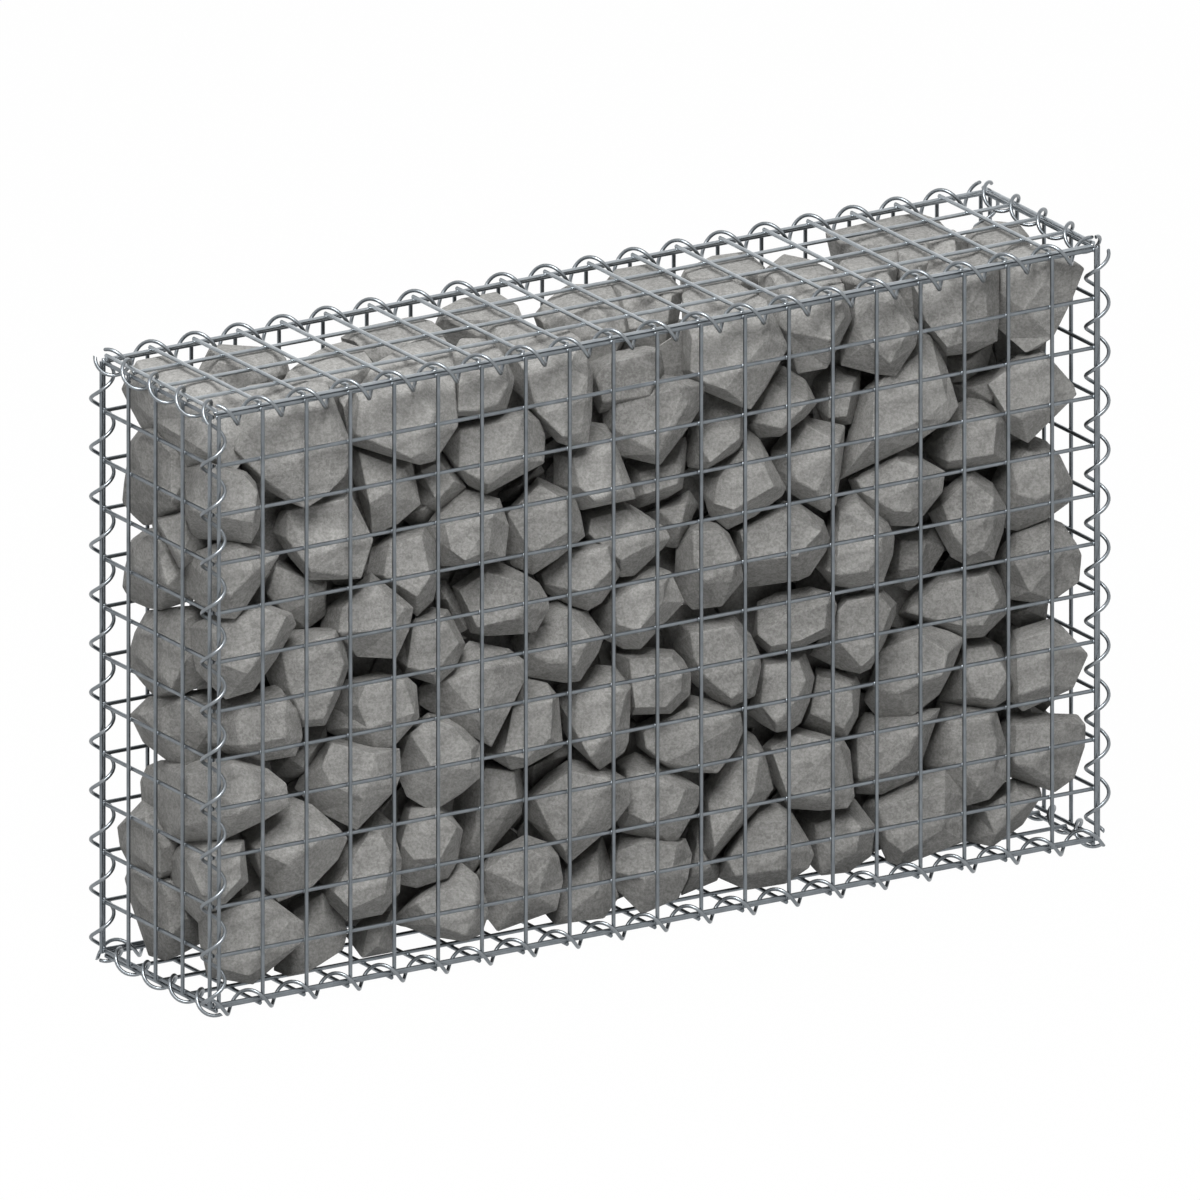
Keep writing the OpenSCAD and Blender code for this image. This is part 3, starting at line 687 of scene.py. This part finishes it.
courses[7] = [
    (80, [-580, 580, -571, 589, -550, 592, -500, 578, -480, 545, -495, 512, -525, 500, -552, 494, -565, 495,
      -577, 507, -589, 522, -587, 540],
     [-577, 578, -560, 588, -535, 560, -522, 530, -535, 512, -565, 542]),
    (3, [-520, 542, -492, 545, -450, 527, -440, 515, -434, 490, -436, 470, -445, 456, -478, 472, -510, 472,
      -518, 490],
     [-514, 500, -478, 487, -440, 474, -437, 505, -452, 524, -490, 540]),
    (0, [-410, 480, -400, 486, -360, 485, -332, 485, -322, 457, -307, 435, -320, 399, -377, 407, -400, 435,
      -417, 462],
     [-402, 480, -402, 452, -375, 415, -330, 412, -322, 440, -338, 480]),
    (22, [-330, 535, -305, 527, -262, 505, -257, 480, -252, 462, -277, 447, -305, 440, -312, 470,
      -327, 500],
     [-320, 525, -270, 500, -290, 480, -308, 472]),
    (30, [-257, 505, -229, 512, -210, 485, -200, 470, -230, 450, -255, 460, -257, 490],
     [-250, 495, -228, 500, -212, 478, -232, 462]),
    (36, [-275, 452, -255, 465, -232, 462, -230, 448, -245, 440, -262, 442],
     [-250, 455]),
    (2, [-210, 534, -150, 540, -130, 535, -117, 522, -111, 507, -112, 480, -145, 470, -175, 460, -195, 472,
      -207, 485, -212, 500, -226, 515],
     [-205, 528, -135, 528, -125, 500, -126, 482, -172, 468, -205, 490]),
    (34, [-162, 457, -135, 470, -115, 477, -110, 470, -145, 447, -157, 447],
     [-135, 462]),
    (4, [-97, 485, -57, 510, -40, 505, -32, 492, -25, 472, -12, 442, -7, 426, -47, 426, -67, 425, -75, 440,
      -97, 455],
     [-76, 478, -34, 484, -14, 434, -50, 430, -68, 448]),
    (0, [-42, 533, 0, 551, 20, 546, 50, 537, 72, 527, 66, 504, 50, 484, 22, 456, 7, 468, -22, 473,
      -40, 505],
     [-25, 525, 50, 528, 62, 505, 22, 465, -28, 500]),
    (14, [60, 500, 72, 520, 114, 500, 118, 470, 112, 455, 75, 442, 55, 448, 52, 470],
     [70, 462, 95, 474, 112, 466, 80, 448]),
    (12, [162, 530, 187, 512, 200, 487, 187, 475, 160, 461, 135, 464, 122, 477, 120, 495, 142, 515],
     [150, 515, 165, 505, 190, 488, 162, 468, 130, 480]),
    (30, [195, 512, 220, 522, 250, 510, 249, 487, 240, 460, 212, 461, 200, 485],
     [215, 505, 242, 500, 235, 468, 215, 470]),
    (0, [322, 536, 330, 530, 347, 497, 360, 457, 350, 445, 310, 427, 267, 417, 230, 407, 235, 435, 250, 487,
      280, 497, 312, 525],
     [268, 490, 315, 515, 340, 495, 355, 460, 330, 446, 265, 438]),
    (34, [342, 511, 377, 510, 402, 515, 395, 492, 370, 480, 355, 482],
     [372, 500]),
    (30, [357, 480, 370, 484, 420, 487, 415, 470, 412, 442, 390, 460, 360, 457],
     [375, 472, 405, 475, 400, 455]),
    (-9, [415, 487, 430, 495, 455, 497, 467, 485, 492, 455, 497, 444, 470, 427, 442, 407, 422, 420,
      415, 442, 394, 472],
     [398, 472, 430, 488, 460, 488, 488, 456, 470, 444, 440, 428, 418, 440]),
]
courses[8] = [
    (50, [-589, 636, -582, 649, -572, 661, -545, 662, -525, 650, -480, 628, -455, 600, -450, 552, -464, 534,
      -520, 545, -567, 594, -579, 616],
     [-560, 630, -530, 640, -495, 620, -482, 590, -507, 565, -555, 600]),
    (0, [-466, 600, -470, 550, -434, 514, -402, 492, -382, 482, -360, 491, -336, 504, -332, 522, -336, 546,
      -347, 566, -358, 600, -400, 612, -445, 613, -460, 608],
     [-460, 552, -430, 520, -390, 524, -347, 501, -344, 540, -357, 576, -430, 580]),
    (30, [-355, 604, -322, 604, -325, 560, -333, 545, -345, 565],
     [-338, 575]),
    (0, [-327, 602, -332, 560, -330, 538, -285, 518, -252, 504, -235, 505, -229, 514, -210, 535, -212, 553,
      -216, 610, -228, 629, -245, 630, -262, 622, -300, 612],
     [-318, 578, -322, 545, -262, 512, -240, 512, -233, 550, -262, 576]),
    (6, [-220, 600, -204, 621, -177, 616, -158, 600, -145, 572, -147, 562, -154, 542, -185, 542, -211, 545,
      -216, 560],
     [-205, 575, -183, 580, -150, 565, -160, 546, -182, 546, -208, 549]),
    (2, [-150, 604, -138, 611, -85, 609, -70, 597, -62, 577, -56, 560, -57, 520, -61, 492, -84, 495,
      -95, 500, -116, 525, -127, 542, -145, 562],
     [-128, 572, -82, 572, -60, 556, -62, 500, -88, 503, -118, 534]),
    (22, [-57, 572, -30, 578, 5, 578, 22, 572, 26, 548, 18, 522, -46, 520, -57, 545],
     [-50, 555, -38, 568, 10, 570, 18, 550, 10, 528, -42, 530]),
    (1, [51, 570, 50, 622, 75, 630, 100, 629, 120, 614, 142, 600, 155, 567, 166, 550, 155, 537, 142, 515,
      125, 496, 115, 500, 100, 510, 72, 524, 57, 532, 50, 547],
     [60, 575, 97, 578, 150, 560, 118, 536, 100, 518, 75, 530, 58, 545]),
    (6, [150, 580, 170, 602, 230, 602, 239, 565, 220, 545, 212, 522, 180, 522, 170, 545, 160, 560],
     [170, 582, 228, 582, 237, 566, 217, 548, 167, 566]),
    (0, [240, 575, 245, 600, 282, 602, 295, 570, 316, 545, 312, 527, 290, 501, 267, 507, 230, 522, 230, 537,
      240, 560],
     [246, 562, 268, 580, 288, 572, 310, 544, 288, 512, 258, 540]),
    (2, [305, 604, 330, 612, 370, 612, 395, 604, 407, 590, 407, 550, 405, 517, 377, 510, 350, 512, 330, 537,
      315, 555],
     [318, 578, 392, 580, 402, 540, 398, 520, 378, 518, 350, 520, 326, 550]),
    (-9, [408, 598, 425, 606, 462, 602, 480, 590, 500, 575, 504, 571, 490, 542, 470, 510, 452, 502,
      440, 500, 422, 517, 407, 532],
     [412, 588, 468, 584, 460, 564, 438, 542, 411, 563]),
    (45, [-415, 597, -400, 622, -377, 634, -357, 640, -340, 641, -320, 632, -307, 615, -320, 590, -365, 560,
      -395, 570],
     [-390, 605, -350, 625, -322, 615, -345, 598]),
    (55, [-175, 622, -172, 635, -152, 640, -137, 630, -117, 617, -108, 600, -125, 560, -160, 565],
     [-165, 628, -145, 632, -120, 612, -150, 605]),
    (55, [135, 628, 152, 636, 164, 644, 192, 634, 222, 617, 228, 605, 205, 560, 150, 560, 138, 595],
     [150, 625, 165, 632, 200, 618, 215, 606, 165, 600]),
    (40, [222, 612, 230, 627, 292, 629, 293, 610, 285, 570, 240, 565],
     [240, 618, 285, 620, 280, 605, 245, 600]),
    (35, [292, 628, 322, 628, 335, 612, 338, 560, 318, 540, 292, 560, 286, 600],
     [300, 620, 322, 618, 318, 604]),
    (60, [365, 622, 380, 634, 395, 639, 430, 630, 442, 615, 445, 570, 400, 550, 372, 580],
     [385, 622, 410, 628, 430, 615, 405, 602]),
    (80, [318, 628, 335, 639, 357, 636, 372, 622, 374, 600, 345, 578, 322, 590],
     [330, 628, 358, 625, 360, 605, 335, 602]),
    (112, [-502, 640, -489, 661, -477, 662, -435, 652, -415, 645, -406, 636, -401, 620, -412, 580,
      -450, 560, -490, 580],
     [-490, 635, -480, 645, -420, 640, -415, 620, -455, 612]),
    (105, [-339, 646, -320, 652, -262, 653, -240, 645, -225, 632, -232, 590, -280, 565, -325, 590],
     [-325, 640, -260, 640, -245, 625, -300, 612]),
    (118, [-232, 642, -225, 656, -210, 666, -195, 670, -177, 669, -160, 657, -142, 645, -137, 633,
      -145, 590, -185, 570, -222, 600],
     [-222, 645, -195, 655, -160, 645, -150, 632, -185, 622]),
    (92, [-120, 631, -110, 640, -90, 652, -80, 655, -50, 650, -35, 646, -20, 617, -15, 597, -40, 560,
      -90, 565, -112, 610],
     [-112, 625, -58, 628, -20, 612, -18, 598, -80, 600]),
    (88, [-37, 652, -27, 661, 12, 660, 32, 645, 47, 627, 42, 600, 27, 565, -28, 565, -34, 600],
     [-22, 640, 10, 645, 35, 625, 30, 600, -12, 600]),
    (105, [47, 640, 52, 648, 82, 656, 120, 654, 140, 635, 144, 610, 125, 570, 70, 565, 50, 605],
     [58, 638, 85, 642, 125, 632, 100, 612, 62, 615]),
    (116, [211, 660, 292, 661, 315, 660, 337, 650, 350, 635, 350, 605, 320, 575, 250, 575, 226, 610,
      217, 649],
     [230, 645, 290, 648, 330, 640, 340, 622, 300, 628, 235, 632]),
    (112, [-398, 604, -360, 614, -320, 602, -310, 570, -340, 542, -388, 550],
     [-380, 595, -330, 595, -325, 570, -375, 565]),
]

fill = {
    "plane": -0.075, "middle": -0.060,  # where the outlines lie, and the middle of the front stones
    "crown": 0.031, "crownSpread": 0.003, "ripple": 0.005, "tilt": 0.2, "tuck": 1.05, "crownTuck": 1.03,
    "back": 0.052, "backLeast": 0.020, "backShare": 0.78, "frontLayer": 50, "twinReach": 405,
    "front": -0.094, "ends": 0.498, "rightEnd": 0.5005, "endInset": 0.022, "top": 0.5985,
    "bed": -0.0006, "lowBand": 0.011, "lowFront": -0.088, "lowEnds": 0.488,  # clear of the lower spirals
    "flat": 3.0, "chip": 0.0009, "chipSpread": 0.0004, "seed": 11,
    "hearting": {
        "shifts": ((46, 36, 54), (-38, 16, 68)), "topShifts": ((40, -38, 62),), "topLayer": 15,
        "reach": (-470, 456), "low": 40, "half": 0.012,
    },
}
chance = random.Random(fill["seed"])


def swing(most):
    return chance.uniform(-1, 1) * most


def pairs(row):
    return list(zip(row[::2], row[1::2]))


def onPlane(point):
    return Vector((point[0] / 1000, fill["plane"], point[1] / 1000))


def clamp(value, low, high):
    return max(low, min(high, value))


def inBasket(p, inset=0.0):
    # a corner outside the basket slides along the line of sight, so that it keeps its place in the view
    if p.x > fill["rightEnd"]:
        p = p + sight * ((fill["rightEnd"] - p.x) / sight.x)
    elif p.x < inset - fill["ends"]:
        slide = (inset - fill["ends"] - p.x) / sight.x
        p = p + sight * min(slide, (-fill["front"] - p.y) / sight.y)
    p = p + sight * ((clamp(p.z, fill["bed"], fill["top"]) - p.z) / sight.z)
    p.x = clamp(p.x, -fill["ends"], fill["rightEnd"])
    p.y = clamp(p.y, fill["front"], -fill["front"])
    if p.z < fill["lowBand"]:
        p.x = clamp(p.x, -fill["lowEnds"], fill["lowEnds"])
        p.y = clamp(p.y, fill["lowFront"], -fill["lowFront"])
    return p + Vector((0, 0, lift))


def stoneCorners(setBack, outline, crown):
    centre = sum((onPlane(p) for p in outline), Vector()) / len(outline)
    middle = centre + sight * ((fill["middle"] + setBack / 1000 - centre.y) / sight.y)
    behind = setBack / 1000 if setBack < fill["frontLayer"] else 0
    depth = max(fill["backLeast"], fill["back"] - behind)
    tilt = sightRight * swing(1) + sightUp * swing(1)
    corners = []
    for p in outline:
        rim = centre + (onPlane(p) - centre) * fill["tuck"]
        rim += sight * ((middle - rim).dot(sight) + swing(fill["ripple"]))
        back = middle + (rim - middle) * fill["backShare"]
        back += sight * (depth + swing(fill["ripple"]))
        corners += [inBasket(rim, fill["endInset"]), inBasket(back, fill["endInset"])]
    for p in crown:
        top = centre + (onPlane(p) - centre) * fill["crownTuck"]
        rise = fill["crown"] + swing(fill["crownSpread"]) + (top - centre).dot(tilt) * fill["tilt"]
        corners.append(inBasket(top + sight * ((middle - top).dot(sight) - rise)))
    return corners


def heartingCorners(outline, shiftX, shiftZ, setBack):
    # a flat stone of the inner fill, behind the joints of the front layer
    half = fill["hearting"]["half"]
    corners = []
    for x, z in outline:
        p = onPlane((x + shiftX, z + shiftZ))
        p += sight * ((fill["middle"] + setBack / 1000 - p.y) / sight.y)
        corners += [p + sight * (side * half + swing(fill["ripple"])) for side in (-1, 1)]
    return [inBasket(p) for p in corners]


def quarryStone(corners):
    mesh = bpy.data.meshes.new("stone")
    mesh.from_pydata(corners, [], [])
    stone = addObject("stone", mesh)
    mesh.materials.append(rockFace)
    mesh.materials.append(rockEdge)
    pick(stone)
    bpy.ops.object.mode_set(mode="EDIT")
    bpy.ops.mesh.select_mode(type="VERT")
    onAll(bpy.ops.mesh.convex_hull)
    onAll(bpy.ops.mesh.dissolve_limited, angle_limit=math.radians(fill["flat"]))
    chip = fill["chip"] + swing(fill["chipSpread"])
    onAll(bpy.ops.mesh.bevel, offset=chip, segments=1, affect="EDGES", clamp_overlap=True, material=1)
    bpy.ops.object.mode_set(mode="OBJECT")
    return stone


def paintTone(stone):
    tone = chance.random()
    layer = stone.data.attributes.new("stoneTone", "FLOAT", "POINT")
    layer.data.foreach_set("value", [tone] * len(stone.data.vertices))


def stoneCourse(number):
    inner = fill["hearting"]
    onTop = number == max(courses)
    shifts = inner["topShifts"] if onTop else inner["shifts"]
    layer = inner["topLayer"] if onTop else fill["frontLayer"]
    front, rear, turned = [], [], []
    for setBack, outlineRow, crownRow in courses[number]:
        outline = pairs(outlineRow)
        stone = quarryStone(stoneCorners(setBack, outline, pairs(crownRow)))
        front.append(stone)
        midX, midZ = (sum(row) / len(outline) for row in zip(*outline))
        if not onTop and setBack < fill["frontLayer"] and midX < fill["twinReach"]:
            turned.append(stone)
        if setBack < layer and midZ > inner["low"]:
            for shift in shifts:
                if inner["reach"][0] < midX + shift[0] < inner["reach"][1]:
                    rear.append(quarryStone(heartingCorners(outline, *shift)))
    for stone in turned:  # the back layer is the front layer turned half round
        twin = addObject("stone", stone.data.copy())
        twin.rotation_euler = (0, 0, math.pi)
        settle(twin)
        rear.append(twin)
    for stone in front + rear:
        paintTone(stone)
    pick(*front, *rear)
    bpy.ops.object.join()
    course = bpy.context.object
    bpy.ops.object.mode_set(mode="EDIT")
    onAll(bpy.ops.mesh.quads_convert_to_tris)
    bpy.ops.object.mode_set(mode="OBJECT")
    course.name = f"stoneCourse{number}"
    course.data.name = course.name
    pick(course)
    bpy.ops.object.shade_flat()
    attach(course, "root")
    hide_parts(f"stone_course_{number}")
    return len(course.data.polygons)


total = sum(stoneCourse(number) for number in courses)
print("stones made", total, "triangles")

# stage, light and camera
studio = {
    "floor": 0.55, "floorSize": 16, "floorRough": 0.9, "floorSpecular": 0.1, "seen": 0.99,
    "ambient": 0.115, "behind": 1.6, "behindFrom": (0.5, 0.866, 0.0), "behindBand": (0.2, 0.9),
    "key": {"place": (-1.75, -2.1, 4.0), "power": 298.0, "size": 2.6},
    "fill": {"place": (2.6, -2.2, 1.2), "power": 4.0, "size": 2.0},
    "aim": (0, 0, 0.3),
}


def seenRays(tree):
    # rays from the camera alone, and with those that are mirrored or let through
    path = tree.nodes.new("ShaderNodeLightPath")
    direct = path.outputs["Is Camera Ray"]
    mirrored = sums(tree, "MAXIMUM", path.outputs["Is Glossy Ray"], path.outputs["Is Transmission Ray"])
    return direct, sums(tree, "MAXIMUM", direct, mirrored)


def makeFloor():
    deselectAll()
    bpy.ops.mesh.primitive_plane_add(size=studio["floorSize"], location=(0, 0, 0))
    floor = bpy.context.object
    floor.name = "floor"
    mat = bpy.data.materials.new("paleFloor")
    mat.use_nodes = True
    tree = mat.node_tree
    bsdf = tree.nodes["Principled BSDF"]
    bsdf.inputs["Base Color"].default_value = (studio["floor"],) * 3 + (1,)
    bsdf.inputs["Roughness"].default_value = studio["floorRough"]
    bsdf.inputs["Specular IOR Level"].default_value = studio["floorSpecular"]
    glow = tree.nodes.new("ShaderNodeEmission")
    glow.inputs["Color"].default_value = (1, 1, 1, 1)
    seen = seenRays(tree)[1]
    mix = tree.nodes.new("ShaderNodeMixShader")
    tree.links.new(sums(tree, "MULTIPLY", seen, studio["seen"]), mix.inputs[0])
    tree.links.new(bsdf.outputs[0], mix.inputs[1])
    tree.links.new(glow.outputs[0], mix.inputs[2])
    tree.links.new(mix.outputs[0], tree.nodes["Material Output"].inputs["Surface"])
    floor.data.materials.append(mat)


def makeWorld():
    world = bpy.data.worlds.new("studio")
    bpy.context.scene.world = world
    world.use_nodes = True
    tree = world.node_tree
    back = tree.nodes["Background"]
    back.inputs["Color"].default_value = (1, 1, 1, 1)
    direct, seen = seenRays(tree)
    coord = tree.nodes.new("ShaderNodeTexCoord")
    along = tree.nodes.new("ShaderNodeVectorMath")
    along.operation = "DOT_PRODUCT"
    along.inputs[1].default_value = studio["behindFrom"]
    tree.links.new(coord.outputs["Generated"], along.inputs[0])
    # a wide soft light from behind, of which the camera sees plain white
    soft = spread(tree, along.outputs["Value"], *studio["behindBand"], studio["ambient"], studio["behind"])
    most = spread(tree, direct, 0.0, 1.0, studio["behind"], 1.0)
    lit = sums(tree, "MAXIMUM", seen, soft)
    tree.links.new(sums(tree, "MINIMUM", lit, most), back.inputs["Strength"])


def softLamp(name, look):
    lamp = bpy.data.lights.new(name, "AREA")
    lamp.shape = "DISK"
    lamp.size = look["size"]
    lamp.energy = look["power"]
    obj = addObject(name, lamp)
    obj.location = look["place"]
    toAim = Vector(studio["aim"]) - Vector(look["place"])
    obj.rotation_euler = toAim.to_track_quat("-Z", "Y").to_euler()


def makeCamera():
    point = Vector(lens["point"]) + Vector((0, 0, lift))
    dx = (lens["frame"] / 2 - lens["pixel"][0]) / lens["pixelsPerMetre"]
    dy = (lens["pixel"][1] - lens["frame"] / 2) / lens["pixelsPerMetre"]
    camData = bpy.data.cameras.new("camera")
    camData.type = "ORTHO"
    camData.ortho_scale = lens["frame"] / lens["pixelsPerMetre"]
    camData.clip_end = lens["clipEnd"]
    cam = addObject("camera", camData)
    m = Matrix((sightRight, sightUp, -sight)).transposed().to_4x4()
    m.translation = point + sightRight * dx + sightUp * dy - sight * lens["back"]
    cam.matrix_world = m
    bpy.context.scene.camera = cam


makeFloor()
makeWorld()
softLamp("keyLamp", studio["key"])
softLamp("fillLamp", studio["fill"])
makeCamera()
bpy.context.scene.view_settings.view_transform = "Standard"
print("stage, light and camera made")
